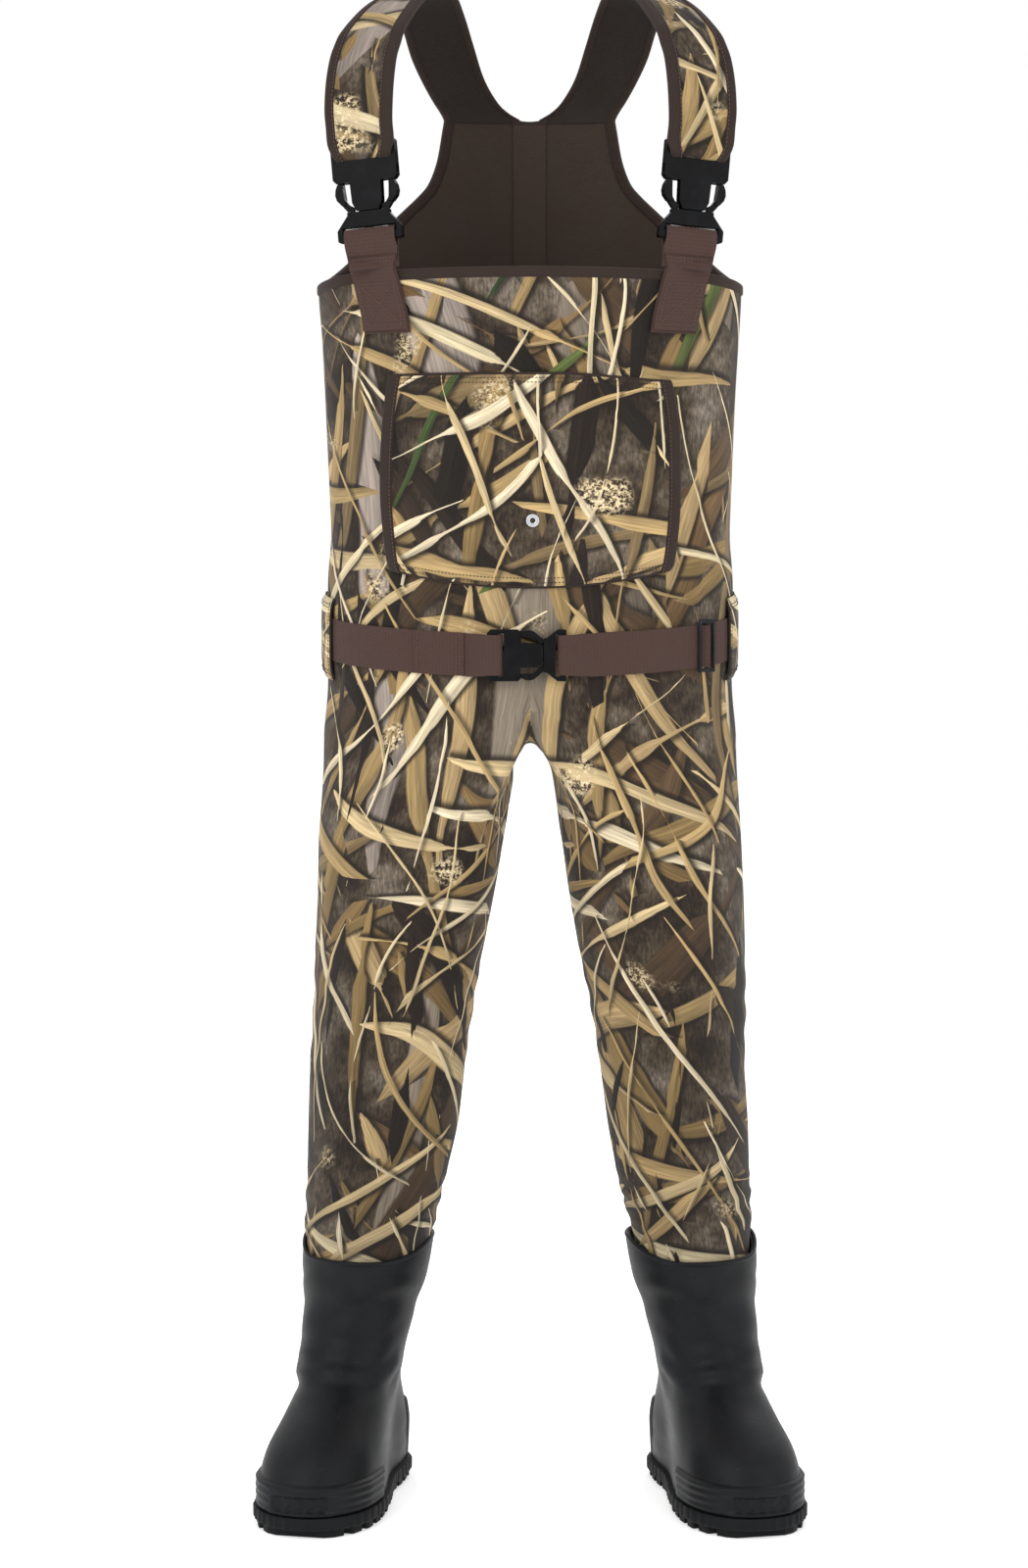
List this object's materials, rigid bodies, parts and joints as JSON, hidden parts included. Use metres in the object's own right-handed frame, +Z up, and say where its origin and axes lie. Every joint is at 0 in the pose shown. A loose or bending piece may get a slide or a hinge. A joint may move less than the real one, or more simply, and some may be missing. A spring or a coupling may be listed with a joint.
{
  "type": "chest waders",
  "caption": "Camouflage neoprene chest waders with rubber boots, padded shoulder straps on side-release buckles, a hand-warmer pocket and a waist belt.",
  "frame": {"origin": "midway between the tops of the two shoulder straps, where the waders hang", "axes": "+Z up, the front faces -Y, +X towards the wearer's left"},
  "size_m": [0.4416, 0.2484, 1.237],
  "materials": {
    "camo_neoprene": "matt knitted face printed with dry reeds, grass and bark, dark brown knitted lining",
    "binding": "matt dark brown woven edge tape with stitching",
    "webbing": "reddish dark brown ribbed webbing",
    "buckle_plastic": "black moulded plastic, satin",
    "slider_plastic": "dark grey moulded plastic",
    "eyelet_metal": "polished metal",
    "boot_rubber": "matt black rubber with soft wrinkles",
    "outsole_rubber": "matt black lugged rubber",
    "insole_foam": "grey felt over foam"
  },
  "bodies": {
    "torso": {"torso_front_panel": "camo_neoprene", "torso_back_panel": "camo_neoprene", "crotch_gusset": "camo_neoprene", "back_seam_tape": "binding", "chest_binding": "binding", "left_armhole_binding": "binding", "right_armhole_binding": "binding", "neckline_binding": "binding", "pocket_pouch": "camo_neoprene", "left_pocket_binding": "binding", "right_pocket_binding": "binding", "pocket_drain_eyelet": "eyelet_metal", "left_shoulder_strap": "camo_neoprene", "right_shoulder_strap": "camo_neoprene", "left_strap_lower": "camo_neoprene", "right_strap_lower": "camo_neoprene", "left_chest_tab": "webbing", "right_chest_tab": "webbing", "left_buckle_plug": "buckle_plastic", "right_buckle_plug": "buckle_plastic", "belt_buckle_plug": "buckle_plastic", "belt_webbing_back": "webbing", "belt_webbing_left": "webbing", "belt_webbing_right": "webbing", "belt_webbing_tail": "webbing", "belt_loop_left": "camo_neoprene", "belt_loop_right": "camo_neoprene", "belt_loop_back": "camo_neoprene", "left_hip_section": "camo_neoprene", "right_hip_section": "camo_neoprene"},
    "left_strap_release": {"left_strap_end": "camo_neoprene", "left_buckle_socket": "buckle_plastic"},
    "right_strap_release": {"right_strap_end": "camo_neoprene", "right_buckle_socket": "buckle_plastic"},
    "belt_socket": {"belt_buckle_socket": "buckle_plastic"},
    "left_latch_outer": {"left_latch_arm_outer": "buckle_plastic"},
    "left_latch_inner": {"left_latch_arm_inner": "buckle_plastic"},
    "right_latch_outer": {"right_latch_arm_outer": "buckle_plastic"},
    "right_latch_inner": {"right_latch_arm_inner": "buckle_plastic"},
    "belt_latch_upper": {"belt_latch_arm_upper": "buckle_plastic"},
    "belt_latch_lower": {"belt_latch_arm_lower": "buckle_plastic"},
    "slider": {"belt_slider": "slider_plastic"},
    "left_upper_leg": {"left_thigh": "camo_neoprene", "left_knee_section": "camo_neoprene"},
    "right_upper_leg": {"right_thigh": "camo_neoprene", "right_knee_section": "camo_neoprene"},
    "left_lower_leg": {"left_shin": "camo_neoprene", "left_boot_upper": "boot_rubber", "left_boot_outsole": "outsole_rubber", "left_boot_insole": "insole_foam", "left_boot_seam_band": "boot_rubber", "left_boot_toe_bumper": "boot_rubber", "left_boot_heel_counter": "boot_rubber"},
    "right_lower_leg": {"right_shin": "camo_neoprene", "right_boot_upper": "boot_rubber", "right_boot_outsole": "outsole_rubber", "right_boot_insole": "insole_foam", "right_boot_seam_band": "boot_rubber", "right_boot_toe_bumper": "boot_rubber", "right_boot_heel_counter": "boot_rubber"}
  },
  "joints": [
    {"name": "left_hip", "type": "hinge", "parent": "torso", "child": "left_upper_leg", "pos_m": [0.09, 0, -0.625], "axis": [-1, 0, 0], "range_deg": [-10, 40], "stiffness_Nm_per_rad": 3, "deforming": ["left_hip_section"]},
    {"name": "left_knee", "type": "hinge", "parent": "left_upper_leg", "child": "left_lower_leg", "pos_m": [0.1135, 0.008, -0.835], "axis": [1, 0, 0], "range_deg": [0, 60], "stiffness_Nm_per_rad": 1.5, "deforming": ["left_knee_section"]},
    {"name": "right_hip", "type": "hinge", "parent": "torso", "child": "right_upper_leg", "pos_m": [-0.09, 0, -0.625], "axis": [-1, 0, 0], "range_deg": [-10, 40], "stiffness_Nm_per_rad": 3, "deforming": ["right_hip_section"]},
    {"name": "right_knee", "type": "hinge", "parent": "right_upper_leg", "child": "right_lower_leg", "pos_m": [-0.1135, 0.008, -0.835], "axis": [1, 0, 0], "range_deg": [0, 60], "stiffness_Nm_per_rad": 1.5, "deforming": ["right_knee_section"]},
    {"name": "left_strap_buckle_release", "type": "slide", "parent": "torso", "child": "left_strap_release", "axis": [0.0853, 0.0181, 0.9962], "range_m": [0, 0.034], "deforming": ["left_strap_lower", "left_latch_arm_outer", "left_latch_arm_inner"]},
    {"name": "right_strap_buckle_release", "type": "slide", "parent": "torso", "child": "right_strap_release", "axis": [-0.0853, 0.0181, 0.9962], "range_m": [0, 0.034], "deforming": ["right_strap_lower", "right_latch_arm_outer", "right_latch_arm_inner"]},
    {"name": "belt_buckle_release", "type": "slide", "parent": "torso", "child": "belt_socket", "axis": [-1, 0, 0], "range_m": [0, 0.026], "deforming": ["belt_webbing_right", "belt_latch_arm_upper", "belt_latch_arm_lower"]},
    {"name": "left_latch_outer_press", "type": "hinge", "parent": "torso", "child": "left_latch_outer", "pos_m": [0.14081, -0.07406, -0.19123], "axis": [0.2079, -0.9781, 0], "range_deg": [0, 6], "stiffness_Nm_per_rad": 0.05},
    {"name": "left_latch_inner_press", "type": "hinge", "parent": "torso", "child": "left_latch_inner", "pos_m": [0.11353, -0.07986, -0.18879], "axis": [-0.2079, 0.9781, 0], "range_deg": [0, 6], "stiffness_Nm_per_rad": 0.05},
    {"name": "right_latch_outer_press", "type": "hinge", "parent": "torso", "child": "right_latch_outer", "pos_m": [-0.14081, -0.07406, -0.19123], "axis": [0.2079, 0.9781, 0], "range_deg": [0, 6], "stiffness_Nm_per_rad": 0.05},
    {"name": "right_latch_inner_press", "type": "hinge", "parent": "torso", "child": "right_latch_inner", "pos_m": [-0.11353, -0.07986, -0.18879], "axis": [-0.2079, -0.9781, 0], "range_deg": [0, 6], "stiffness_Nm_per_rad": 0.05},
    {"name": "belt_latch_upper_press", "type": "hinge", "parent": "torso", "child": "belt_latch_upper", "pos_m": [0.00944, -0.111, -0.52908], "axis": [0, -1, 0], "range_deg": [0, 6], "stiffness_Nm_per_rad": 0.05},
    {"name": "belt_latch_lower_press", "type": "hinge", "parent": "torso", "child": "belt_latch_lower", "pos_m": [0.00944, -0.111, -0.55092], "axis": [0, 1, 0], "range_deg": [0, 6], "stiffness_Nm_per_rad": 0.05},
    {"name": "belt_slider_slide", "type": "hinge", "parent": "torso", "child": "slider", "pos_m": [0.0895, 0, -0.524], "axis": [0, -0.1493, 0.9888], "range_deg": [0, 15], "deforming": ["belt_webbing_tail"]}
  ],
  "couplings": [
    {"joint": "left_latch_inner_press", "follows": "left_latch_outer_press", "ratio": 1},
    {"joint": "right_latch_inner_press", "follows": "right_latch_outer_press", "ratio": 1},
    {"joint": "belt_latch_lower_press", "follows": "belt_latch_upper_press", "ratio": 1}
  ]
}
